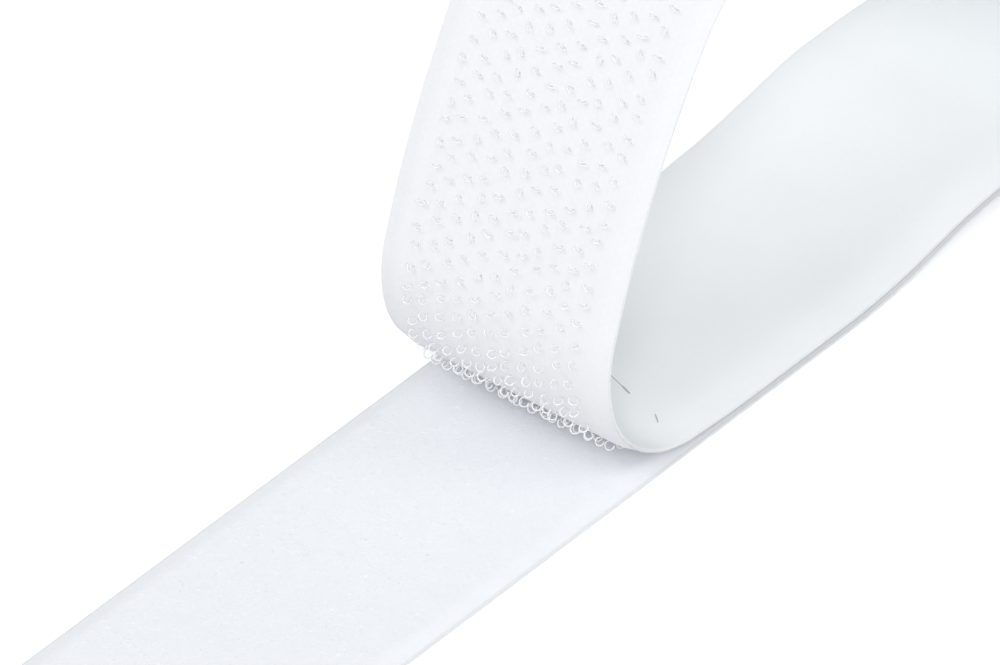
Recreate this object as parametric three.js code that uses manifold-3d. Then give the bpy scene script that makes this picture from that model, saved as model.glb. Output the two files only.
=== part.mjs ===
// Self-adhesive hook and loop tape: a mated pair of tapes wound on a card core.
// The pair runs out of the foot of the roll and lies along a table. At the peel
// line the hook tape lifts off the loop tape and curls up, while the loop tape
// runs on flat to its cut end.
// Millimetres, +Z up. The origin is on the table, under the peel line at mid
// width. The run and the roll lie towards +X, the loop tape's free tail towards -X.
import * as THREE from "three";
import { mergeVertices } from "three/addons/utils/BufferGeometryUtils.js";
import Module from "manifold-3d";

// Tape section
const tapeWidth = 25;
const selvedge = 2.7; // bare woven edge on each side of the hooks and of the pile
const linerThickness = 0.1;
const adhesiveThickness = 0.12;
const backingThickness = 0.4;
const pileThickness = 0.25; // loop pile pressed flat
const glueLine = 0.02; // between neighbouring layers
const hookHeight = 1.1;
const hookClearance = 0.43; // hook tips to pressed pile, on the mated pair

// Hooks
const hookRows = 8; // across the width
const hookPitch = 2.3; // along the tape
const hookStrand = 0.26; // side of the three-cornered strand
const hookReach = 0.5; // how far the tip leans out from the stem
const hookDrop = 0.35; // how far the tip turns back down
const hookStemTilt = 80; // degrees that the strand still climbs at its shoulder
const hookTipTilt = -75; // degrees that it falls at its tip
const hookSkew = 38; // degrees between a hook's own plane and the tape's length
const hookRoot = 0.15; // sunk in the weave

// Run from the peel line to the roll
const runFlat = 26;
const waveRise = 27; // length along the table of each slope of the low wave
const waveHeight = 2.8;
const waveCrest = 4;
const runFoot = 18;
const selvedgeDroop = 32; // degrees that the hook tape's bare edges bend down
const selvedgeGap = 0.3; // left between the edges of the two tapes
const pinchLength = 6; // from the peel line until the edges are down
const pinchSteps = 4;

// Curl of the peeled hook tape, from the peel line to its cut end
const bendLength = 4.5;
const bendTurn = 34;
const bowLength = 17.5;
const bowTurn = 68;
const riseLength = 29;
const riseTurn = 18;
const headLength = 16;
const headTurn = 60;
const bendLinks = 1;
const bowLinks = 3;
const riseLinks = 2;
const headLinks = 3;
const linkGap = 0.3; // between the stretches that the tape bends at

// Roll
const coreBore = 38;
const coreWall = 2.5;
const coreGap = 0.3; // core to the first turn
const turns = 4;
const turnGap = 0.5; // between the liners of neighbouring turns
const stepsPerTurn = 24;
const coreSides = 48;
const arcStep = 6; // degrees of a facet on the curl and on the wave
const weld = 1e-4; // vertices closer than this are one

// Heights of the layers on the mated pair, from the underside of the loop liner
const loopLiner = { low: 0, high: linerThickness };
const loopAdhesive = layerOn(loopLiner, adhesiveThickness);
const loopBacking = layerOn(loopAdhesive, backingThickness);
const loopPile = layerOn(loopBacking, pileThickness);
const hookTips = loopPile.high + hookClearance;
const hookBacking = {
  low: hookTips + hookHeight,
  high: hookTips + hookHeight + backingThickness,
};
const hookField = { low: hookTips, high: hookBacking.low - glueLine };
const hookAdhesive = layerOn(hookBacking, adhesiveThickness);
const hookLiner = layerOn(hookAdhesive, linerThickness);
const bendLayer = (hookBacking.low + hookBacking.high) / 2;

// The hook tape's bare edges hang down until they lie on the loop tape's
const freeDrop = selvedge * Math.sin(THREE.MathUtils.degToRad(selvedgeDroop));
const edgeRoom = hookBacking.low - loopBacking.high - selvedgeGap;
const edgeDrop = Math.min(freeDrop, edgeRoom);
const halfTape = tapeWidth / 2;
const halfField = halfTape - selvedge;

const windingPitch = hookLiner.high + turnGap;
const halfTurns = 2 * turns;
const coreRadius = coreBore / 2 + coreWall;
const innerTurnRadius = coreRadius + coreGap + hookLiner.high;
const rollRadius = innerTurnRadius + ((halfTurns - 1) * windingPitch) / 2;
const rollX = runFlat + 2 * waveRise + waveCrest + runFoot;
// Half turns lie round two centres, half a pitch apart. The last lies on the core.
const coreZ = rollRadius + (halfTurns % 2 === 0 ? windingPitch / 2 : 0);
const tailLength = bendLength + bowLength + riseLength + headLength;

function layerOn(below, thickness) {
  const low = below.high + glueLine;
  return { low, high: low + thickness };
}

// Follows straights and arcs. Each section has a length and a turn in radians.
// A trace backwards gives the same headings as one forwards, in the other order.
function trace(start, sections, backwards = false) {
  const way = backwards ? -1 : 1;
  const stations = [{ ...start }];
  let { x, z, heading } = start;
  for (const { length, turn, steps } of sections) {
    const stepTurn = turn / steps;
    const chord =
      (length / steps) *
      (turn === 0 ? 1 : Math.sin(stepTurn / 2) / (stepTurn / 2));
    for (let i = 0; i < steps; i++) {
      const middle = heading + (way * stepTurn) / 2;
      x += way * chord * Math.cos(middle);
      z += way * chord * Math.sin(middle);
      heading += way * stepTurn;
      stations.push({ x, z, heading });
    }
  }
  return backwards ? stations.reverse() : stations;
}

function arc(length, degrees) {
  const steps = Math.max(1, Math.ceil(Math.abs(degrees) / arcStep));
  return { length, turn: THREE.MathUtils.degToRad(degrees), steps };
}

function straight(length, steps = 1) {
  return { length, turn: 0, steps };
}

// A low wave: an S up to a level crest, and from its middle an S down.
function waveHalves() {
  const slope = 2 * Math.atan(waveHeight / waveRise);
  const radius = waveRise / (2 * Math.sin(slope));
  const degrees = THREE.MathUtils.radToDeg(slope);
  const up = arc(radius * slope, degrees);
  const down = arc(radius * slope, -degrees);
  const level = straight(waveCrest / 2);
  return { rise: [up, down, level], fall: [level, down, up] };
}

// Each half turn is tighter than the last by half a pitch.
function windingSections() {
  return Array.from({ length: halfTurns }, (_, i) => ({
    length: Math.PI * (rollRadius - (i * windingPitch) / 2),
    turn: Math.PI,
    steps: stepsPerTurn / 2,
  }));
}

function pointOn(station, offset) {
  return {
    x: station.x - Math.sin(station.heading) * offset,
    z: station.z + Math.cos(station.heading) * offset,
  };
}

// Points across a tape, each with its place and how far it hangs down
function flatRow(halfWidth) {
  return () => [
    { y: -halfWidth, drop: 0 },
    { y: halfWidth, drop: 0 },
  ];
}

// The hook tape's row is flat at the peel line, and its edges go down step by step
function pinchedRow(step) {
  const drop = edgeDrop * THREE.MathUtils.smoothstep(step, 0, pinchSteps);
  const reach = halfField + Math.sqrt(selvedge ** 2 - drop ** 2);
  return [
    { y: -reach, drop },
    { y: -halfField, drop: 0 },
    { y: halfField, drop: 0 },
    { y: reach, drop },
  ];
}

// A closed strip between two heights, with a row below and the same row above
function stripGeometry(stations, { low, high }, rowAt) {
  const positions = [];
  stations.forEach((station, step) => {
    const row = rowAt(step);
    const under = row.map(({ y, drop }) => ({ y, offset: low - drop }));
    const over = row.map(({ y, drop }) => ({ y, offset: high - drop }));
    for (const { y, offset } of [...under, ...over.reverse()]) {
      const { x, z } = pointOn(station, offset);
      positions.push(x, y, z);
    }
  });
  const sides = 2 * rowAt(0).length;
  return closedSweep(positions, sides, ladderCap(sides));
}

// A strip's end, between its two rows
function ladderCap(sides) {
  const faces = [];
  for (let low = 0; low < sides / 2 - 1; low++) {
    const high = sides - 1 - low;
    faces.push([low, low + 1, high - 1], [low, high - 1, high]);
  }
  return faces;
}

// Joins rings of points into a closed skin, with a cap at both ends. Its upper half is
// split the same way as its lower half, so that layers keep their gap where a row changes.
function closedSweep(positions, sides, cap) {
  const rings = positions.length / 3 / sides;
  const faces = [];
  for (let ring = 0; ring < rings - 1; ring++)
    for (let side = 0; side < sides; side++) {
      const a = ring * sides + side;
      const b = ring * sides + ((side + 1) % sides);
      if (side < sides / 2) faces.push(a, b, b + sides, a, b + sides, a + sides);
      else faces.push(a, b, a + sides, b, b + sides, a + sides);
    }
  const last = (rings - 1) * sides;
  for (const [a, b, c] of cap) {
    faces.push(a, c, b);
    faces.push(last + a, last + b, last + c);
  }
  const geometry = new THREE.BufferGeometry();
  geometry.setAttribute(
    "position",
    new THREE.Float32BufferAttribute(positions, 3),
  );
  geometry.setIndex(faces);
  return geometry;
}

const wasm = await Module();
wasm.setup();

function solidOf(geometry) {
  const merged = mergeVertices(geometry, weld);
  return new wasm.Manifold(
    new wasm.Mesh({
      numProp: 3,
      vertProperties: merged.attributes.position.array,
      triVerts: new Uint32Array(merged.index.array),
    }),
  );
}

function geometryOf(solid) {
  const { vertProperties, triVerts, numProp } = solid.getMesh();
  const geometry = new THREE.BufferGeometry();
  const data = new THREE.InterleavedBuffer(vertProperties, numProp);
  geometry.setAttribute(
    "position",
    new THREE.InterleavedBufferAttribute(data, 3, 0),
  );
  geometry.setIndex(new THREE.BufferAttribute(triVerts, 1));
  return geometry;
}

// One hook: a three-sided strand that stands on the weave, bends over and turns
// its tip back down. It stands on the hook side, so its height counts downwards.
function hookGeometry(station, y, facing) {
  const skew = THREE.MathUtils.degToRad(hookSkew);
  const along = new THREE.Vector3(
    Math.cos(station.heading),
    0,
    Math.sin(station.heading),
  );
  const across = new THREE.Vector3(0, 1, 0);
  const out = new THREE.Vector3(
    Math.sin(station.heading),
    0,
    -Math.cos(station.heading),
  );
  const lean = along
    .clone()
    .multiplyScalar(facing * Math.cos(skew))
    .addScaledVector(across, Math.sin(skew));
  const side = new THREE.Vector3().crossVectors(lean, out);
  const foot = pointOn(station, hookBacking.low);
  const base = new THREE.Vector3(foot.x, y, foot.z);
  const thick = hookStrand / 2;
  // Strand rings: reach and height of the middle, and the way the strand points there
  const top = hookHeight - thick;
  const shoulder = top - hookReach / 2;
  const rings = [
    [0, -hookRoot, 90],
    [0, shoulder, hookStemTilt],
    [hookReach / 2, top, 0],
    [hookReach, top - hookDrop, hookTipTilt],
  ];
  const strandSides = 3;
  const positions = [];
  for (const [reach, height, degrees] of rings) {
    const angle = THREE.MathUtils.degToRad(degrees);
    const centre = base
      .clone()
      .addScaledVector(lean, reach)
      .addScaledVector(out, height);
    const outer = lean
      .clone()
      .multiplyScalar(-Math.sin(angle))
      .addScaledVector(out, Math.cos(angle));
    for (let corner = 0; corner < strandSides; corner++) {
      const turn = (corner * 2 * Math.PI) / strandSides;
      const point = centre
        .clone()
        .addScaledVector(outer, thick * Math.cos(turn))
        .addScaledVector(side, thick * Math.sin(turn));
      positions.push(point.x, point.y, point.z);
    }
  }
  return closedSweep(positions, strandSides, [[0, 1, 2]]);
}

const group = new THREE.Group();
// Colour and finish of each material
const looks = {
  liner: { color: 0xe4e9ea, roughness: 0.35, metalness: 0 },
  adhesive: { color: 0xf1efe2, roughness: 0.3, metalness: 0 },
  weave: { color: 0xf4f6f9, roughness: 0.8, metalness: 0 },
  pile: { color: 0xf0f4f9, roughness: 0.95, metalness: 0 },
  card: { color: 0xb59a74, roughness: 0.9, metalness: 0 },
};

function addMesh(name, geometry, look) {
  const flat = geometry.index ? geometry.toNonIndexed() : geometry;
  flat.computeVertexNormals();
  const material = new THREE.MeshStandardMaterial(looks[look]);
  const mesh = new THREE.Mesh(flat, material);
  mesh.name = name;
  group.add(mesh);
  return mesh;
}

// Core tube, turned about the roll's axis
function coreGeometry() {
  const inside = coreBore / 2;
  const half = tapeWidth / 2;
  const profile = [
    new THREE.Vector2(inside, -half),
    new THREE.Vector2(coreRadius, -half),
    new THREE.Vector2(coreRadius, half),
    new THREE.Vector2(inside, half),
    new THREE.Vector2(inside, -half),
  ];
  return new THREE.LatheGeometry(profile, coreSides);
}
const core = addMesh("core_tube", coreGeometry(), "card");
core.position.set(rollX, 0, coreZ);

// Long strips: the loop tape from its cut end, the hook tape from the peel line
const wave = waveHalves();
const toCrest = [straight(runFlat), ...wave.rise];
const fromCrest = [...wave.fall, straight(runFoot), ...windingSections()];
const runSections = [...toCrest, ...fromCrest];
const peelLine = { x: 0, z: 0, heading: 0 };
const pinched = [straight(pinchLength, pinchSteps), straight(runFlat - pinchLength)];
const hookPath = trace(peelLine, [...pinched, ...wave.rise, ...fromCrest]);
hookPath[0].x += linkGap / 2;
const loopEnd = { x: -tailLength, z: 0, heading: 0 };
const loopPath = trace(loopEnd, [straight(tailLength), ...runSections]);
// The loop liner is cut on the crest, and each length of it lies on the table by itself
const tailLinerPath = trace(loopEnd, [straight(tailLength), ...toCrest]);
const rollLinerPath = trace(tailLinerPath.at(-1), fromCrest);
rollLinerPath[0].x += linkGap;

const tapeRow = flatRow(halfTape);
const fieldRow = flatRow(halfField);
addMesh("loop_liner", stripGeometry(tailLinerPath, loopLiner, tapeRow), "liner");
addMesh("loop_liner_wound", stripGeometry(rollLinerPath, loopLiner, tapeRow), "liner");
addMesh("loop_adhesive", stripGeometry(loopPath, loopAdhesive, tapeRow), "adhesive");
addMesh("loop_backing", stripGeometry(loopPath, loopBacking, tapeRow), "weave");
addMesh("loop_pile", stripGeometry(loopPath, loopPile, fieldRow), "pile");
addMesh("hook_field", stripGeometry(hookPath, hookField, fieldRow), "weave");
addMesh("hook_backing", stripGeometry(hookPath, hookBacking, pinchedRow), "weave");
addMesh("hook_adhesive", stripGeometry(hookPath, hookAdhesive, pinchedRow), "adhesive");
addMesh("hook_liner", stripGeometry(hookPath, hookLiner, pinchedRow), "liner");

// Peeled hook tape, in stretches that turn about lines across the tape
const curl = [
  { length: bendLength, turn: bendTurn, links: bendLinks },
  { length: bowLength, turn: bowTurn, links: bowLinks },
  { length: riseLength, turn: riseTurn, links: riseLinks },
  { length: headLength, turn: headTurn, links: headLinks },
];
const links = curl.flatMap(({ length, turn, links: count }) =>
  Array.from({ length: count }, () => ({
    length: length / count,
    turn: turn / count,
  })),
);

// Stations along one stretch, on the bending layer, short of its pivots by half a gap
function linkStations(start, { length, turn }) {
  const trim = linkGap / 2 / length;
  const end = arc(length * trim, turn * trim);
  const middle = arc(length - linkGap, turn * (1 - 2 * trim));
  const [first] = trace(start, [end], true);
  return trace(first, [middle], true);
}

// Heights from the bending layer instead of from the loop liner
function lowered({ low, high }) {
  return { low: low - bendLayer, high: high - bendLayer };
}

// Hooks of one stretch, in rows a pitch apart about its middle and clear of its ends
function hooksOn(stations, length) {
  const clearLength = length - linkGap;
  const rows = Math.max(1, Math.round(clearLength / hookPitch));
  const spacing = (2 * halfField) / hookRows;
  const hooks = [];
  for (let row = 0; row < rows; row++) {
    const fromMiddle = (row - (rows - 1) / 2) * hookPitch;
    const station = stationAt(stations, 0.5 + fromMiddle / clearLength);
    for (let column = 0; column < hookRows; column++) {
      const y = -halfField + spacing * (column + 0.5);
      const facing = column % 2 === 0 ? 1 : -1;
      hooks.push(hookGeometry(station, y, facing));
    }
  }
  return hooks;
}

// A place along a stretch, by share of its length, at heights from the loop liner
function stationAt(stations, share) {
  const place = share * (stations.length - 1);
  const i = Math.min(Math.floor(place), stations.length - 2);
  const from = stations[i];
  const to = stations[i + 1];
  const part = place - i;
  const station = {
    x: THREE.MathUtils.lerp(from.x, to.x, part),
    z: THREE.MathUtils.lerp(from.z, to.z, part),
    heading: THREE.MathUtils.lerp(from.heading, to.heading, part),
  };
  const table = pointOn(station, -bendLayer);
  return { ...station, ...table };
}

const pivots = [];
let pivot = { x: 0, z: bendLayer, heading: 0 };
links.forEach((link, i) => {
  const number = i + 1;
  const stations = linkStations(pivot, link);
  const backing = solidOf(stripGeometry(stations, lowered(hookBacking), tapeRow));
  const hooked = hooksOn(stations, link.length).reduce(
    (body, hook) => body.add(solidOf(hook)),
    backing,
  );
  addMesh("hook_backing_" + number, geometryOf(hooked), "weave");
  const adhesive = stripGeometry(stations, lowered(hookAdhesive), tapeRow);
  addMesh("hook_adhesive_" + number, adhesive, "adhesive");
  const liner = stripGeometry(stations, lowered(hookLiner), tapeRow);
  addMesh("hook_liner_" + number, liner, "liner");
  pivots.push(pivot);
  [pivot] = trace(pivot, [arc(link.length, link.turn)], true);
});

// Least gap between neighbouring turns, measured from points of one liner to the other
function leastTurnGap() {
  const outside = loopPath.map((station) => pointOn(station, loopLiner.low));
  const inside = hookPath.map((station) => pointOn(station, hookLiner.high));
  const wound = inside.slice(-turns * stepsPerTurn - 1);
  const gaps = wound.slice(0, -stepsPerTurn).map((point, i) => {
    const facing = outside[outside.length - wound.length + i + stepsPerTurn];
    return Math.hypot(point.x - facing.x, point.z - facing.z);
  });
  return Math.min(...gaps);
}
console.log("least gap between turns " + leastTurnGap().toFixed(2) + " mm");

// Lines across the tape that the peeled stretches turn about, and the roll's axis
group.userData = { pivots, bendLayer, rollX, coreZ, tailLength, rollRadius };

export default group;
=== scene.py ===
import math
import random

import bmesh
import bpy
from mathutils import Matrix, Vector


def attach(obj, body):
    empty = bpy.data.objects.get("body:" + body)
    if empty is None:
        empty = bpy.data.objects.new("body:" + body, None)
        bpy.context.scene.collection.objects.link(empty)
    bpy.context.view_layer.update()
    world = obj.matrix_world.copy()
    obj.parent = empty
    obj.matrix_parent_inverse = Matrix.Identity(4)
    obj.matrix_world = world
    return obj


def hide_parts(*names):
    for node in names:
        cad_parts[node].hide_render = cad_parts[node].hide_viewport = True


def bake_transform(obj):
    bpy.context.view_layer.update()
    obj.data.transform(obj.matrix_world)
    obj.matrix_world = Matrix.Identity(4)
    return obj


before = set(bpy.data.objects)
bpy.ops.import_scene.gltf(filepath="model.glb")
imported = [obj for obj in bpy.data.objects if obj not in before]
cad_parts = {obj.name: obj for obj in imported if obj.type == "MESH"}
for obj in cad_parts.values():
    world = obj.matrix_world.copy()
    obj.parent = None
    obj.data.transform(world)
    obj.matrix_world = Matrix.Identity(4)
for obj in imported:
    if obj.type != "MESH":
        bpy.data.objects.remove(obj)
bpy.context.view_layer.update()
print("frame loaded:", len(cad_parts), "nodes")

# Pieces are in millimetres and degrees, and their meshes are shrunk to metres at the end
tape = {
    "halfWidth": 12.5,
    "selvedge": 2.7,
    "nearDrop": 1.4,       # the hook tape's bare edges hang this far down on the mated pair
    "farDrop": 0.5,
    "woundDrop": 1.4,
    "dropWidth": 3.7,      # and bend down over this width
    "edgePull": 0.05,      # share of the fall that the edge moves inwards
    "dropFrom": -4.0,      # distance from the peel line where they start down
    "dropTo": 3.5,
    "sink": 0.45,          # hooks pressed into the pile on the run
    "sunkAt": 12.0,
    "woundFrom": 80.0,
    "farLean": 0.6,        # the far edge climbs the wave later than the near one
    "leanFrom": (32.0, 42.0),
    "leanTo": (44.0, 53.0),
    "edgeThin": 0.78,      # share of the weave's thickness lost at its edges
    "thinWidth": 1.8,
    "feltMargin": 0.2,
    "filmRound": 0.03,     # rounding of the long edges
    "weaveRound": 0.12,
    "feltRound": 0.08,
    "hooksRound": 0.3,
    "caughtRound": 0.2,
    "fieldStep": 1.4,      # mesh steps across the tape
    "edgeStep": 0.54,
    "loopLiner": (0.0, 0.1),
    "loopAdhesive": (0.12, 0.24),
    "loopBacking": (0.26, 0.66),
    "loopFelt": (0.68, 0.86),
    "matedHooks": (1.36, 2.44),
    "matedFrom": 1.0,
    "caughtLoops": (0.84, 1.6),
    "caughtFrom": 0.3,     # the loops caught by the hooks fill the gap from here
    "caughtTo": 14.0,
    "hookBacking": (2.46, 2.86),
    "hookAdhesive": (2.88, 3.0),
    "hookLiner": (3.02, 3.12),
    "bendLayer": 2.66,
    "tail": 67.0,
}
wide = tape["halfWidth"]
halfField = wide - tape["selvedge"]

run = {
    "flat": 26.0, "waveLength": 27.0, "waveHeight": 2.8, "crest": 4.0, "foot": 18.0,
    "fineTo": 60.0, "fineStep": 0.75, "step": 1.5,
}
roll = {
    "radius": 37.59, "pitch": 3.62, "halfTurns": 8, "x": 102.0, "coreZ": 39.4,
    "steps": 60,           # of each half turn
}
curl = {
    "sections": [(4.5, 34.0), (17.5, 68.0), (29.0, 18.0), (16.0, 60.0)],
    # middles of the stretches, from the run to the last one, where the curl is cut into pieces
    "joins": [-2.25, 2.25, 7.417, 13.25, 19.083, 29.25, 43.75, 53.667, 59.0, 64.333],
    "tabHinge": 61.8,
    "tabSoft": 2.0,        # length past the tab's hinge
    "step": 0.3,
}


def smoothStep(low, high, value):
    share = min(max((value - low) / (high - low), 0.0), 1.0)
    return share * share * (3 - 2 * share)


# A path is a list of stretches: distance at its start, place, heading and curvature
def layPath(sections, z, way):
    stretches = []
    place = (0.0, z, 0.0)
    distance = 0.0
    for length, degrees in sections:
        curvature = math.radians(degrees) / length
        stretches.append((distance, place, curvature))
        place = advance(place, curvature, length, way)
        distance += length
    return stretches


def advance(place, curvature, length, way):
    x, z, heading = place
    half = curvature * length / 2
    chord = length * (math.sin(half) / half if half else 1.0)
    x += way * chord * math.cos(heading + way * half)
    z += way * chord * math.sin(heading + way * half)
    return x, z, heading + way * 2 * half


def stationOn(path, distance, way):
    start, place, curvature = [s for s in path if s[0] <= distance + 1e-9][-1]
    return advance(place, curvature, distance - start, way)


def waveSections():
    slope = 2 * math.atan(run["waveHeight"] / run["waveLength"])
    length = run["waveLength"] / (2 * math.sin(slope)) * slope
    degrees = math.degrees(slope)
    up, down = (length, degrees), (length, -degrees)
    return [up, down, (run["crest"], 0.0), down, up]


windings = [
    (math.pi * (roll["radius"] - i * roll["pitch"] / 2), 180.0) for i in range(roll["halfTurns"])
]
pairSections = [(run["flat"], 0.0), *waveSections(), (run["foot"], 0.0), *windings]
pairPath = layPath(pairSections, 0.0, 1)
curlPath = layPath(curl["sections"], tape["bendLayer"], -1)
runLength = sum(length for length, turn in pairSections)
windStart = runLength - sum(length for length, turn in windings)
print("paths laid: run and winding %.0f mm, curl and tail %.0f mm" % (runLength, tape["tail"]))


# Distances are from the peel line: towards the roll they are positive
def hookStation(distance):
    if distance >= 0:
        return stationOn(pairPath, distance, 1), 0.0
    return stationOn(curlPath, -distance, -1), tape["bendLayer"]


def loopStation(distance):
    if distance >= 0:
        return stationOn(pairPath, distance, 1), 0.0
    return (distance, 0.0, 0.0), 0.0


def pointAt(station, height):
    (x, z, heading), layer = station
    rise = height - layer
    return x - math.sin(heading) * rise, z + math.cos(heading) * rise


def sinkAt(distance):
    wound = smoothStep(tape["woundFrom"], windStart, distance)
    return tape["sink"] * smoothStep(0.0, tape["sunkAt"], distance) * (1 - wound)


def edgeFall(distance, y):
    inner = wide - tape["dropWidth"]
    outside = max(abs(y) - inner, 0.0) / tape["dropWidth"]
    wound = smoothStep(tape["woundFrom"], windStart, distance)
    loose = tape["nearDrop"] if y < 0 else tape["farDrop"]
    drop = loose * (1 - wound) + tape["woundDrop"] * wound
    fall = drop * smoothStep(tape["dropFrom"], tape["dropTo"], distance)
    across = min(abs(y), inner) + outside * (tape["dropWidth"] - tape["edgePull"] * fall)
    return math.copysign(across, y), fall * outside ** 2 + sinkAt(distance)


def leanAt(distance, y):
    held = smoothStep(*tape["leanFrom"], distance) * (1 - smoothStep(*tape["leanTo"], distance))
    return tape["farLean"] * held * (y + wide) / (2 * wide)


def sinkOnly(distance, y):
    return y, sinkAt(distance)


def noFall(distance, y):
    return y, 0.0


# Woven edges are thinner than the middle, on the side of the hooks or of the pile
def edgeThin(y):
    return tape["edgeThin"] * smoothStep(wide - tape["thinWidth"], wide, abs(y))


def thinHook(y, height):
    top = tape["hookBacking"][1]
    return top - (top - height) * (1 - edgeThin(y))


def thinLoop(y, height):
    bottom = tape["loopBacking"][0]
    return bottom + (height - bottom) * (1 - edgeThin(y))


def evenHeight(y, height):
    return height


def spread(low, high, step):
    count = max(1, math.ceil((high - low) / step))
    return [low + (high - low) * i / count for i in range(count + 1)]


def longMarks(start):
    marks = spread(start, run["fineTo"], run["fineStep"])
    marks += spread(run["fineTo"], windStart, run["step"])[1:]
    at = windStart
    for length, degrees in windings:
        marks += spread(at, at + length, length / roll["steps"])[1:]
        at += length
    return marks


def widthColumns(half):
    columns = spread(-halfField, halfField, tape["fieldStep"])
    if half <= halfField:
        return columns
    edge = spread(halfField, half, tape["edgeStep"])[1:]
    return [-y for y in reversed(edge)] + columns + edge


# Turns a flat bmesh, with x the distance and z the height, into the laid tape
def layDown(bm, stations, fall, thin):
    uvs = bm.loops.layers.uv.new("tapeUV")
    for face in bm.faces:
        for corner in face.loops:
            corner[uvs].uv = corner.vert.co.xy
    places = {}
    for vert in bm.verts:
        distance, y, height = vert.co
        key = round(distance, 4)
        if key not in places:
            places[key] = stations(distance)
        across, down = fall(distance, y)
        x, z = pointAt(places[key], thin(y, height) - down - leanAt(distance, y))
        vert.co = (x, across, z)


def flatStrip(marks, columns, layer, roundOff):
    bm = bmesh.new()
    low, high = layer
    bmesh.ops.create_grid(bm, x_segments=len(marks) - 1, y_segments=len(columns) - 1, size=1)
    for vert in bm.verts:
        i = round((vert.co.x + 1) / 2 * (len(marks) - 1))
        j = round((vert.co.y + 1) / 2 * (len(columns) - 1))
        vert.co = (marks[i], columns[j], low)
    grown = bmesh.ops.extrude_face_region(bm, geom=bm.faces[:])["geom"]
    top = [g for g in grown if isinstance(g, bmesh.types.BMVert)]
    bmesh.ops.translate(bm, verts=top, vec=(0, 0, high - low))
    bmesh.ops.recalc_face_normals(bm, faces=bm.faces[:])
    edge = max(columns)
    longEdges = [
        e for e in bm.edges
        if all(abs(abs(v.co.y) - edge) < 1e-4 for v in e.verts)
        and abs(e.verts[0].co.x - e.verts[1].co.x) > 1e-4
    ]
    bmesh.ops.bevel(bm, geom=longEdges, offset=roundOff, segments=2, profile=0.5,
                    affect="EDGES", material=-1)
    return bm


def finishMesh(name, bm, material, sharpAt=40.0):
    bmesh.ops.scale(bm, vec=(0.001, 0.001, 0.001), verts=bm.verts[:])
    mesh = bpy.data.meshes.new(name)
    for face in bm.faces:
        face.smooth = True
    for edge in bm.edges:
        if len(edge.link_faces) == 2 and edge.calc_face_angle() > math.radians(sharpAt):
            edge.smooth = False
    bm.to_mesh(mesh)
    bm.free()
    piece = bpy.data.objects.new(name, mesh)
    bpy.context.scene.collection.objects.link(piece)
    mesh.materials.append(material)
    return piece


# Shader maths: a Value is a socket, and its operators add Math nodes
class Value:
    def __init__(self, tree, socket):
        self.tree = tree
        self.socket = socket

    def node(self, kind, settings=None, inputs=None, output=0):
        return addNode(self.tree, kind, settings, inputs, output)

    def maths(self, operation, *others):
        return self.node("ShaderNodeMath", {"operation": operation},
                         dict(enumerate([self, *others])))

    def __add__(self, other):
        return self.maths("ADD", other)

    def __sub__(self, other):
        return self.maths("SUBTRACT", other)

    def __mul__(self, other):
        return self.maths("MULTIPLY", other)

    def __rsub__(self, other):
        return self.node("ShaderNodeMath", {"operation": "SUBTRACT"}, {0: other, 1: self})

    __radd__ = __add__
    __rmul__ = __mul__

    def within(self, low, high, start=0.0, end=1.0):
        return self.node("ShaderNodeMapRange", {"interpolation_type": "SMOOTHSTEP"},
                         {"Value": self, "From Min": low, "From Max": high,
                          "To Min": start, "To Max": end})

    def colours(self, first, second):
        return self.node("ShaderNodeMix", {"data_type": "RGBA"},
                         {0: self, 6: (*first, 1), 7: (*second, 1)}, 2)


def addNode(tree, kind, settings=None, inputs=None, output=0):
    node = tree.nodes.new(kind)
    for name, value in (settings or {}).items():
        setattr(node, name, value)
    for key, value in (inputs or {}).items():
        socket = node.inputs[key]
        if isinstance(value, Value):
            tree.links.new(value.socket, socket)
        else:
            socket.default_value = value
    return Value(tree, node.outputs[output])


def newMaterial(name, constants):
    material = bpy.data.materials.new(name)
    material.use_nodes = True
    tree = material.node_tree
    surface = tree.nodes["Principled BSDF"]
    for key, value in constants.items():
        surface.inputs[key].default_value = value
    return material, tree, surface


def feed(tree, surface, links):
    for key, value in links.items():
        tree.links.new(value.socket, surface.inputs[key])


def tapeUv(tree):
    uv = addNode(tree, "ShaderNodeUVMap", {"uv_map": "tapeUV"})
    apart = uv.node("ShaderNodeSeparateXYZ", {}, {"Vector": uv})
    across = Value(tree, apart.socket.node.outputs[1])
    return uv, apart, across


def objectSpot(tree):
    return addNode(tree, "ShaderNodeTexCoord", {}, {}, "Object")


def noise(at, scale, detail=3.0, roughness=0.55):
    return at.node("ShaderNodeTexNoise", {},
                   {"Vector": at, "Scale": scale, "Detail": detail, "Roughness": roughness})


def bump(height, strength, distance):
    return height.node("ShaderNodeBump", {},
                       {"Height": height, "Strength": strength, "Distance": distance})


weaveLook = {
    "warpPitch": 0.62,     # yarns along the tape, seen across it
    "weftPitch": 0.5,
    "fibres": 9.0,         # scales of the noises
    "patches": 0.7,
    "pale": (0.822, 0.83, 0.848),
    "deep": (0.792, 0.801, 0.82),
}


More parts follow.
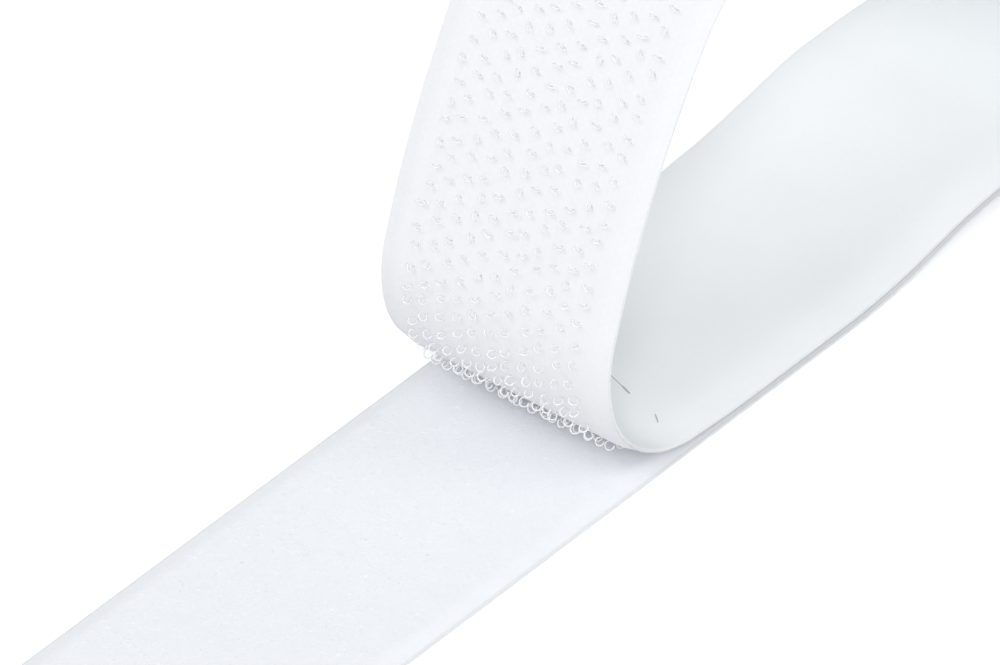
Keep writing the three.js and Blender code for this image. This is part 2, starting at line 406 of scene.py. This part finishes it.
def weaveMaterial(name, look):
    material, tree, surface = newMaterial(name, {
        "Roughness": 0.85, "Specular IOR Level": 0.2, "Sheen Weight": 0.1})
    uv, along, across = tapeUv(tree)
    warp = (across * (math.tau / look["warpPitch"])).maths("SINE")
    weft = (along * (math.tau / look["weftPitch"])).maths("SINE")
    turned = (across * (math.pi / look["warpPitch"])).maths("SINE")
    under = (along * (math.pi / look["weftPitch"])).maths("SINE")
    yarns = warp * 0.35 + weft * 0.2 + (turned * under) * 0.45
    fibres = noise(uv, look["fibres"], 4.0)
    patches = noise(uv, look["patches"], 2.0)
    relief = yarns * 0.3 + fibres * 0.7
    # the yarn term darkens the colour in the dips between the yarns: painted shade; the fibres
    # and patches are the weave's own uneven tone
    shade = (yarns * 0.1 + fibres * 0.55 + patches * 0.35).within(0.25, 0.75)
    feed(tree, surface, {
        "Base Color": shade.colours(look["deep"], look["pale"]),
        "Normal": bump(relief, 0.3, 0.0001),
    })
    return material


pileLook = {
    "tufts": 2600.0, "swirls": 420.0, "patches": 90.0,
    "pale": (0.865, 0.886, 0.918), "deep": (0.842, 0.865, 0.902),
}


def pileMaterial(name, look):
    material, tree, surface = newMaterial(name, {
        "Roughness": 0.95, "Specular IOR Level": 0.15, "Sheen Weight": 0.3,
        "Sheen Roughness": 0.6})
    spot = objectSpot(tree)
    tufts = noise(spot, look["tufts"], 4.0)
    swirls = noise(spot, look["swirls"], 3.0)
    patches = noise(spot, look["patches"], 2.0)
    shade = (tufts * 0.45 + swirls * 0.35 + patches * 0.2).within(0.35, 0.65)
    feed(tree, surface, {
        "Base Color": shade.colours(look["deep"], look["pale"]),
        "Normal": bump(tufts * 0.6 + swirls * 0.4, 0.5, 0.00015),
    })
    return material


hookLook = {"drawn": 1500.0, "pale": (0.775, 0.783, 0.8), "deep": (0.755, 0.764, 0.783)}


def hookMaterial(name, look):
    material, tree, surface = newMaterial(name, {
        "Subsurface Weight": 1.0, "Subsurface Scale": 0.0003, "Specular IOR Level": 0.1,
        "Subsurface Radius": (1.0, 1.0, 1.0)})
    spot = objectSpot(tree)
    drawn = noise(spot, look["drawn"], 2.0)
    feed(tree, surface, {
        "Base Color": drawn.within(0.35, 0.65).colours(look["deep"], look["pale"]),
        "Roughness": drawn.within(0.3, 0.7, 0.45, 0.6),
    })
    return material


linerLook = {
    "pale": (0.887, 0.915, 0.933),
    "deep": (0.856, 0.884, 0.902),
    "cloud": 0.06,
    "grain": 2.2,
    # crease colour: painted shade in the creases
    "crease": (0.16, 0.18, 0.2),
    "creaseShadeDepth": 0.6,    # how far the colour goes to the painted crease shade
    # from, to, half width: creases pressed in beside the bend, dented in the relief and darkened
    # with painted shade
    "creases": [((4.1, -2.7), (3.4, -4.6), 0.02), ((3.5, -4.4), (3.0, -5.6), 0.085),
                ((2.1, -9.1), (1.4, -9.95), 0.045)],
}


def creaseNear(along, across, start, end, half):
    dx, dy = end[0] - start[0], end[1] - start[1]
    lengthSquared = dx * dx + dy * dy
    fromX, fromY = along - start[0], across - start[1]
    share = (fromX * (dx / lengthSquared) + fromY * (dy / lengthSquared))
    share = share.maths("MAXIMUM", 0.0).maths("MINIMUM", 1.0)
    offX, offY = fromX - share * dx, fromY - share * dy
    away = (offX * offX + offY * offY).maths("SQRT")
    breadth = (share * math.pi).maths("SINE") * (half * 0.6) + half * 0.5
    return (away - breadth).within(0.0, 0.06, 1.0, 0.0)


def linerMaterial(name, look, creases):
    material, tree, surface = newMaterial(name, {"Coat Roughness": 0.3,
                                                 "Specular IOR Level": 0.35})
    uv, along, across = tapeUv(tree)
    cloud = noise(uv, look["cloud"], 2.0)
    grain = noise(uv, look["grain"], 3.0)
    paper = (cloud * 0.7 + grain * 0.3).within(0.3, 0.7)
    colour = paper.colours(look["deep"], look["pale"])
    relief = grain * 0.1
    if creases:
        mark = None
        for start, end, half in creases:
            near = creaseNear(along, across, start, end, half)
            mark = near if mark is None else mark.maths("MAXIMUM", near)
        # the creases' dark colour is painted shade; the dent itself is the relief below
        strength = mark * look["creaseShadeDepth"]
        colour = strength.node("ShaderNodeMix", {"data_type": "RGBA"},
                               {0: strength, 6: colour, 7: (*look["crease"], 1)}, 2)
        relief = relief - mark
    feed(tree, surface, {
        "Base Color": colour,
        "Roughness": grain.within(0.3, 0.7, 0.4, 0.5),
        "Normal": bump(relief, 0.25, 0.0001),
    })
    return material


adhesiveLook = {"streaks": 0.8, "pale": (0.885, 0.89, 0.885), "deep": (0.86, 0.864, 0.855)}


def adhesiveMaterial(name, look):
    material, tree, surface = newMaterial(name, {"Coat Weight": 0.3, "Coat Roughness": 0.2})
    uv = tapeUv(tree)[0]
    streaks = noise(uv, look["streaks"], 3.0)
    feed(tree, surface, {
        "Base Color": streaks.within(0.3, 0.7).colours(look["deep"], look["pale"]),
        "Roughness": streaks.within(0.3, 0.7, 0.25, 0.4),
    })
    return material


core = {
    "bore": 19.0,
    "outside": 21.5,
    "roundOff": 0.25,
    "steps": 144,
    "rimAngle": 1.2,       # radians, past which an edge is a rim
    "plies": 5,            # layers of card seen on the ends
    "seamPitch": 34.0,     # the outer ply is wound in a spiral
    "fibres": 900.0,
    "flecks": 240.0,
    "pale": (0.58, 0.43, 0.27),
    "deep": (0.40, 0.285, 0.165),
}


def cardMaterial(name, look):
    material, tree, surface = newMaterial(name, {"Specular IOR Level": 0.2})
    spot = objectSpot(tree)
    centre = spot.node("ShaderNodeMapping", {"vector_type": "POINT"}, {
        "Vector": spot, "Location": (-roll["x"] / 1000, 0, -roll["coreZ"] / 1000)})
    x = centre.node("ShaderNodeSeparateXYZ", {}, {"Vector": centre})
    parts = x.socket.node.outputs
    y, z = Value(tree, parts[1]), Value(tree, parts[2])
    radius = (x * x + z * z).maths("SQRT")
    angle = z.maths("ARCTAN2", x)
    wound = angle * (1 / math.tau) + y * (1000 / look["seamPitch"])
    beside = (wound.maths("FRACT") - 0.5).maths("ABSOLUTE")
    seam = beside.within(0.0, 0.012, 1.0, 0.0)
    ply = ((radius * 1000 - look["bore"]) * (look["plies"] / (look["outside"] - look["bore"])))
    lines = (ply.maths("FRACT") - 0.5).maths("ABSOLUTE").within(0.36, 0.5)
    fibres = noise(spot, look["fibres"], 5.0, 0.65)
    flecks = noise(spot, look["flecks"], 3.0)
    shade = (fibres * 0.6 + flecks * 0.4).within(0.3, 0.7) - seam * 0.4 - lines * 0.3
    feed(tree, surface, {
        "Base Color": shade.colours(look["deep"], look["pale"]),
        "Roughness": fibres.within(0.3, 0.7, 0.8, 0.95),
        "Normal": bump(fibres * 0.4 - seam - lines * 0.5, 0.35, 0.0002),
    })
    return material


loopWeave = weaveMaterial("loopWeave", weaveLook)
hookWeave = weaveMaterial("hookWeave", weaveLook)
pileFelt = pileMaterial("brushedPile", pileLook)
hookStrand = hookMaterial("drawnMonofilament", hookLook)
hookPaper = linerMaterial("hookReleaseLiner", linerLook, linerLook["creases"])
loopPaper = linerMaterial("loopReleaseLiner", linerLook, [])
tack = adhesiveMaterial("tackyFilm", adhesiveLook)
card = cardMaterial("spiralCard", core)
print("materials made")


def longStrip(name, layer, half, start, way, roundOff, material, nodes):
    bm = flatStrip(longMarks(start), widthColumns(half), layer, roundOff)
    layDown(bm, *way)
    piece = finishMesh(name, bm, material)
    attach(piece, "roll")
    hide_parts(*nodes)


tailEnd = -tape["tail"]
hookStart = -curl["joins"][0]
onTable = (loopStation, noFall, evenHeight)
onTableThin = (loopStation, noFall, thinLoop)
mated = (hookStation, edgeFall, evenHeight)
matedThin = (hookStation, edgeFall, thinHook)
longStrip("loop_release_liner", tape["loopLiner"], wide, tailEnd, onTable,
          tape["filmRound"], loopPaper, ["loop_liner", "loop_liner_wound"])
longStrip("loop_tack", tape["loopAdhesive"], wide, tailEnd, onTable,
          tape["filmRound"], tack, ["loop_adhesive"])
longStrip("loop_woven_tape", tape["loopBacking"], wide, tailEnd, onTableThin,
          tape["weaveRound"], loopWeave, ["loop_backing"])
longStrip("loop_felt", tape["loopFelt"], wide - tape["feltMargin"], tailEnd, onTableThin,
          tape["feltRound"], pileFelt, ["loop_pile"])
longStrip("mated_hooks", tape["matedHooks"], halfField, tape["matedFrom"],
          (hookStation, sinkOnly, evenHeight), tape["hooksRound"],
          hookStrand, ["hook_field"])
bm = flatStrip(spread(tape["caughtFrom"], tape["caughtTo"], run["fineStep"]),
               widthColumns(halfField), tape["caughtLoops"], tape["caughtRound"])
layDown(bm, *onTable)
caught = finishMesh("caught_loops", bm, pileFelt)
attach(caught, "roll")
longStrip("hook_woven_tape", tape["hookBacking"], wide, hookStart, matedThin,
          tape["weaveRound"], hookWeave, ["hook_backing"])
longStrip("hook_tack", tape["hookAdhesive"], wide, hookStart, mated,
          tape["filmRound"], tack, ["hook_adhesive"])
longStrip("hook_release_liner", tape["hookLiner"], wide, hookStart, mated,
          tape["filmRound"], hookPaper, ["hook_liner"])
print("long strips laid and wound")

stretchNumbers = range(1, len(curl["joins"]))


def metres(distance, height):
    x, z = pointAt(hookStation(distance), height)
    return x / 1000, 0.0, z / 1000


def bendPiece(piece, number, nodes):
    start = metres(-curl["joins"][number - 1], tape["bendLayer"])
    end = metres(-curl["joins"][number], tape["bendLayer"])
    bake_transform(piece)
    if nodes:
        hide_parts(*nodes)


def curlSpan(number):
    last = number == stretchNumbers[-1]
    end = -tape["tail"] if last else -curl["joins"][number]
    return end, -curl["joins"][number - 1]


def curlStrip(name, number, span, layer, way, roundOff, material):
    bm = flatStrip(spread(*span, curl["step"]), widthColumns(wide), layer, roundOff)
    layDown(bm, *way)
    return finishMesh("%s_%d" % (name, number), bm, material)


for number in stretchNumbers:
    span = curlSpan(number)
    weave = curlStrip("curl_woven_tape", number, span, tape["hookBacking"], matedThin,
                      tape["weaveRound"], hookWeave)
    bendPiece(weave, number, ["hook_backing_%d" % number])
    film = curlStrip("curl_tack", number, span, tape["hookAdhesive"], mated,
                     tape["filmRound"], tack)
    bendPiece(film, number, ["hook_adhesive_%d" % number])
    linerSpan = (max(span[0], -curl["tabHinge"]), span[1])
    paper = curlStrip("curl_liner", number, linerSpan, tape["hookLiner"], mated,
                      tape["filmRound"], hookPaper)
    # the last stretch of liner is the tab below
    own = ["hook_liner_%d" % number] if number != stretchNumbers[-1] else []
    bendPiece(paper, number, own)

tab = curlStrip("liner_tab", 10, (tailEnd, -curl["tabHinge"]), tape["hookLiner"], mated,
                tape["filmRound"], hookPaper)
hinge = curl["tabHinge"]
metres(-hinge, tape["hookLiner"][0])
metres(-hinge - curl["tabSoft"], tape["hookLiner"][0])
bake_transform(tab)
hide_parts("hook_liner_9")
print("curl laid in nine bending stretches")

hooks = {
    "columns": 11,
    "pitch": 2.0,
    "strand": 0.08,        # half the strand's thickness
    "sides": 6,
    "crook": 0.41,         # radius of the crook, at the strand's middle
    "crookHeight": 0.45,
    "startTurn": -35.0,    # lean of the strand where the crook starts
    "turn": 240.0,
    "steps": 8,
    "footHeight": -0.03,   # sunk in the weave
    "skew": 63.0,          # from the tape's length to the hook's plane
    "loose": 38.0,         # how unevenly they stand
    "stray": 0.3,
    "tilt": 7.0,
    "sizes": (0.93, 1.03),
    "tipSize": 0.7,
    "firstRow": 0.3,       # back from the last mated row, and clear of the cut end
    "endClear": 1.2,
    "sharpAt": 75.0,
    "matedTo": 1.8,        # rows on the mated pair, next to the peel line
    "seed": 11,
}


def hookTemplate(look):
    bm = bmesh.new()
    foot = bmesh.ops.create_circle(bm, segments=look["sides"], radius=look["strand"])["verts"]
    ring = list({e for v in foot for e in v.link_edges})
    grown = bmesh.ops.extrude_edge_only(bm, edges=ring)["geom"]
    neck = [g for g in grown if isinstance(g, bmesh.types.BMVert)]
    neckEdges = [g for g in grown if isinstance(g, bmesh.types.BMEdge)]
    neckEdges = [e for e in neckEdges if all(v in neck for v in e.verts)]
    lean = math.radians(look["startTurn"])
    centre = Vector((0, 0, look["crookHeight"]))
    start = centre + Vector((-math.cos(lean), 0, math.sin(lean))) * look["crook"]
    bmesh.ops.transform(bm, verts=neck,
                        matrix=Matrix.Translation(start) @ Matrix.Rotation(lean, 4, "Y"))
    bmesh.ops.translate(bm, verts=foot, vec=(0, 0, look["footHeight"]))
    tip = bmesh.ops.spin(bm, geom=neck + neckEdges, cent=centre, axis=(0, 1, 0),
                         angle=math.radians(look["turn"]), steps=look["steps"])["geom_last"]
    tipVerts = [g for g in tip if isinstance(g, bmesh.types.BMVert)]
    tipCentre = sum((v.co for v in tipVerts), Vector()) / len(tipVerts)
    bmesh.ops.scale(bm, vec=[look["tipSize"]] * 3, verts=tipVerts,
                    space=Matrix.Translation(-tipCentre))
    bmesh.ops.contextual_create(bm, geom=[g for g in tip if isinstance(g, bmesh.types.BMEdge)])
    bmesh.ops.recalc_face_normals(bm, faces=bm.faces[:])
    mesh = bpy.data.meshes.new("hookTemplate")
    bm.to_mesh(mesh)
    bm.free()
    return mesh


# Puts a copy of a small mesh at each place
def plant(template, places):
    bm = bmesh.new()
    rest = [v.co.copy() for v in template.vertices]
    for place in places:
        for vert, home in zip(template.vertices, rest):
            vert.co = place @ home
        bm.from_mesh(template)
    for vert, home in zip(template.vertices, rest):
        vert.co = home
    return bm


def hookPlaces(look):
    chance = random.Random(look["seed"])
    rows = math.floor((tape["tail"] + look["matedTo"] - look["endClear"]) / look["pitch"])
    spacing = 2 * halfField / look["columns"]
    places = []
    for row in range(rows):
        for column in range(look["columns"]):
            stagger = 0.5 if column % 2 else 0.0
            distance = look["matedTo"] - look["firstRow"] - (row + stagger) * look["pitch"]
            distance += chance.uniform(-look["stray"], look["stray"])
            y = -halfField + spacing * (column + 0.5)
            y += chance.uniform(-look["stray"], look["stray"])
            station = hookStation(distance)
            x, z = pointAt(station, tape["hookBacking"][0] - sinkAt(distance))
            heading = station[0][2]
            facing = chance.choice((0.0, 180.0))
            skew = look["skew"] + facing + chance.uniform(-look["loose"], look["loose"])
            # the hook stands out of the hook face, so it is turned over
            stand = Matrix.Rotation(-heading, 4, "Y") @ Matrix.Rotation(math.pi, 4, "X")
            leaning = math.radians(chance.uniform(-look["tilt"], look["tilt"]))
            tilt = Matrix.Rotation(leaning, 4, "Y")
            size = Matrix.Scale(chance.uniform(*look["sizes"]), 4)
            turn = Matrix.Rotation(math.radians(skew), 4, "Z")
            place = Matrix.Translation((x, y, z)) @ stand @ turn @ tilt @ size
            places.append((distance, place))
    return places


template = hookTemplate(hooks)
allHooks = hookPlaces(hooks)
for number in stretchNumbers:
    low, high = curlSpan(number)
    bm = plant(template, [place for distance, place in allHooks if low < distance <= high])
    piece = finishMesh("hooks_%d" % number, bm, hookStrand, hooks["sharpAt"])
    bendPiece(piece, number, [])
print("hooks planted:", len(allHooks))

loops = {
    "count": 5200,
    "strand": 0.03,
    "radius": 0.17,
    "steps": 5,
    "from": -66.3,
    "to": 7.0,
    "matedFrom": -1.5,     # loops caught by the hooks stand taller
    "matedTo": 1.5,
    "sunk": 0.06,
    "pastField": 1.0,
    "heights": (0.3, 0.65),
    "caughtHeights": (0.3, 2.6),
    "widths": (0.8, 1.5),
    "tip": 50.0,
    "sharpAt": 75.0,
    "seed": 5,
}


def loopTemplate(look):
    bm = bmesh.new()
    foot = bmesh.ops.create_circle(bm, segments=3, radius=look["strand"])["verts"]
    bmesh.ops.translate(bm, verts=foot, vec=(-look["radius"], 0, 0))
    ring = foot + list({e for v in foot for e in v.link_edges})
    bmesh.ops.spin(bm, geom=ring, cent=(0, 0, 0), axis=(0, 1, 0), angle=math.pi,
                   steps=look["steps"])
    bmesh.ops.recalc_face_normals(bm, faces=bm.faces[:])
    mesh = bpy.data.meshes.new("loopTemplate")
    bm.to_mesh(mesh)
    bm.free()
    return mesh


def loopPlaces(look):
    chance = random.Random(look["seed"])
    top = tape["loopFelt"][1] - look["sunk"]
    reach = halfField + look["pastField"]
    places = []
    for i in range(look["count"]):
        distance = chance.uniform(look["from"], look["to"])
        y = chance.uniform(-reach, reach)
        caught = smoothStep(look["matedFrom"], look["matedTo"], distance)
        tall = chance.uniform(*look["heights"]) + caught * chance.uniform(*look["caughtHeights"])
        turn = Matrix.Rotation(chance.uniform(0, math.pi), 4, "Z")
        tipped = chance.uniform(-look["tip"], look["tip"]) * (1 - caught)
        tip = Matrix.Rotation(math.radians(tipped), 4, "X")
        size = Matrix.Diagonal((chance.uniform(*look["widths"]), 1.0, tall, 1.0))
        places.append(Matrix.Translation((distance, y, top)) @ turn @ tip @ size)
    return places


bm = plant(loopTemplate(loops), loopPlaces(loops))
pile = finishMesh("brushed_loops", bm, pileFelt, loops["sharpAt"])
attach(pile, "roll")
print("pile brushed up:", loops["count"], "loops")


def coreTube(look):
    bm = bmesh.new()
    bmesh.ops.create_grid(bm, x_segments=1, y_segments=1, size=1)
    middle = (look["bore"] + look["outside"]) / 2
    wall = (look["outside"] - look["bore"]) / 2
    for vert in bm.verts:
        vert.co = (roll["x"] + middle + vert.co.x * wall, vert.co.y * wide, roll["coreZ"])
    bmesh.ops.delete(bm, geom=bm.faces[:], context="FACES_ONLY")
    bmesh.ops.spin(bm, geom=bm.verts[:] + bm.edges[:], cent=(roll["x"], 0, roll["coreZ"]),
                   axis=(0, 1, 0), angle=math.tau, steps=look["steps"], use_merge=True)
    bmesh.ops.remove_doubles(bm, verts=bm.verts[:], dist=0.001)
    bmesh.ops.recalc_face_normals(bm, faces=bm.faces[:])
    rims = [e for e in bm.edges if e.calc_face_angle(0) > look["rimAngle"]]
    bmesh.ops.bevel(bm, geom=rims, offset=look["roundOff"], segments=3, profile=0.5,
                    affect="EDGES", material=-1)
    return bm


tube = finishMesh("card_core", coreTube(core), card)
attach(tube, "roll")
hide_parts("core_tube")
print("core wound")

# Camera at the photograph's angle
view = {
    "azimuth": -55.546, "elevation": 36.634, "roll": 4.403,
    "aim": (0.0, 0.0, 15.0), "aimRight": -5.873, "aimUp": -5.091,
    "distance": 2500.0, "across": 87.75, "sensor": 36.0,
    "clip": (0.05, 30.0),  # metres
}


def placeCamera(look):
    turn, lift, lean = (math.radians(look[k]) for k in ("azimuth", "elevation", "roll"))
    right = Vector((math.cos(turn), math.sin(turn), 0))
    ahead = Vector((-math.sin(turn) * math.cos(lift), math.cos(turn) * math.cos(lift),
                    -math.sin(lift)))
    up = right.cross(ahead)
    rolledRight = right * math.cos(lean) + up * math.sin(lean)
    rolledUp = up * math.cos(lean) - right * math.sin(lean)
    aim = Vector(look["aim"]) + rolledRight * look["aimRight"] + rolledUp * look["aimUp"]
    place = (aim - ahead * look["distance"]) / 1000
    data = bpy.data.cameras.new("photoCamera")
    data.sensor_width = look["sensor"]
    data.lens = look["sensor"] * look["distance"] / look["across"]
    data.clip_start, data.clip_end = look["clip"]
    camera = bpy.data.objects.new("photoCamera", data)
    bpy.context.scene.collection.objects.link(camera)
    facing = Matrix((rolledRight, rolledUp, -ahead)).transposed().to_4x4()
    camera.matrix_world = Matrix.Translation(place) @ facing
    bpy.context.scene.camera = camera


placeCamera(view)

studio = {
    "sky": (0.97, 0.985, 1.0),
    "skyStrength": 0.512,
    # place in metres, watts and width in metres of each soft box
    "boxes": [((-1.2, -0.82, 1.02), 9.8, 0.45), ((-0.7, -0.5, 1.4), 2.9, 0.6),
              ((-1.1, 0.45, 1.2), 5.7, 0.5), ((0.35, -1.0, 1.0), 2.4, 0.6)],
    "boxAim": (0.02, 0, 0.02),
    "boxColour": (1.0, 0.99, 0.98),
    "floorColour": (0.86, 0.865, 0.88),
    "floorGlow": 0.4,
    "floorSize": 6.0,
    "floorDrop": 0.00005,  # so that the lowest liner doesn't flicker through it
}


def seenByEye(tree):
    path = addNode(tree, "ShaderNodeLightPath", {}, {}, "Is Camera Ray")
    outs = path.socket.node.outputs
    glossy, through = (Value(tree, outs[k]) for k in ("Is Glossy Ray", "Is Transmission Ray"))
    return (path + glossy + through).maths("MINIMUM", 1.0)


def lightStudio(look):
    world = bpy.data.worlds.new("softSky")
    bpy.context.scene.world = world
    world.use_nodes = True
    tree = world.node_tree
    tree.nodes.clear()
    seen = seenByEye(tree)
    light = addNode(tree, "ShaderNodeBackground", {},
                    {"Color": (*look["sky"], 1), "Strength": look["skyStrength"]})
    white = addNode(tree, "ShaderNodeBackground", {},
                    {"Color": (1, 1, 1, 1), "Strength": 1.0})
    mixed = addNode(tree, "ShaderNodeMixShader", {}, {0: seen, 1: light, 2: white})
    result = tree.nodes.new("ShaderNodeOutputWorld")
    tree.links.new(mixed.socket, result.inputs["Surface"])
    for place, power, size in look["boxes"]:
        data = bpy.data.lights.new("softBox", "AREA")
        data.energy = power
        data.size = size
        data.color = look["boxColour"]
        lamp = bpy.data.objects.new("softBox", data)
        bpy.context.scene.collection.objects.link(lamp)
        lamp.location = place
        towards = Vector(look["boxAim"]) - lamp.location
        lamp.rotation_euler = towards.to_track_quat("-Z", "Y").to_euler()


def layFloor(look):
    bm = bmesh.new()
    bmesh.ops.create_grid(bm, x_segments=2, y_segments=2, size=look["floorSize"])
    mesh = bpy.data.meshes.new("table")
    bm.to_mesh(mesh)
    bm.free()
    floor = bpy.data.objects.new("table", mesh)
    bpy.context.scene.collection.objects.link(floor)
    floor.location.z = -look["floorDrop"]
    material, tree, surface = newMaterial("paleTable", {"Roughness": 0.9})
    surface.inputs["Base Color"].default_value = (*look["floorColour"], 1)
    glow = addNode(tree, "ShaderNodeEmission", {}, {"Color": (1, 1, 1, 1)})
    seen = seenByEye(tree)
    tree.links.new((seen * look["floorGlow"]).socket, glow.socket.node.inputs["Strength"])
    plain = Value(tree, surface.outputs[0])
    both = addNode(tree, "ShaderNodeAddShader", {}, {0: plain, 1: glow})
    tree.links.new(both.socket, tree.nodes["Material Output"].inputs["Surface"])
    mesh.materials.append(material)


lightStudio(studio)
layFloor(studio)
bpy.context.scene.view_settings.view_transform = "Standard"
print("camera, light and table set")
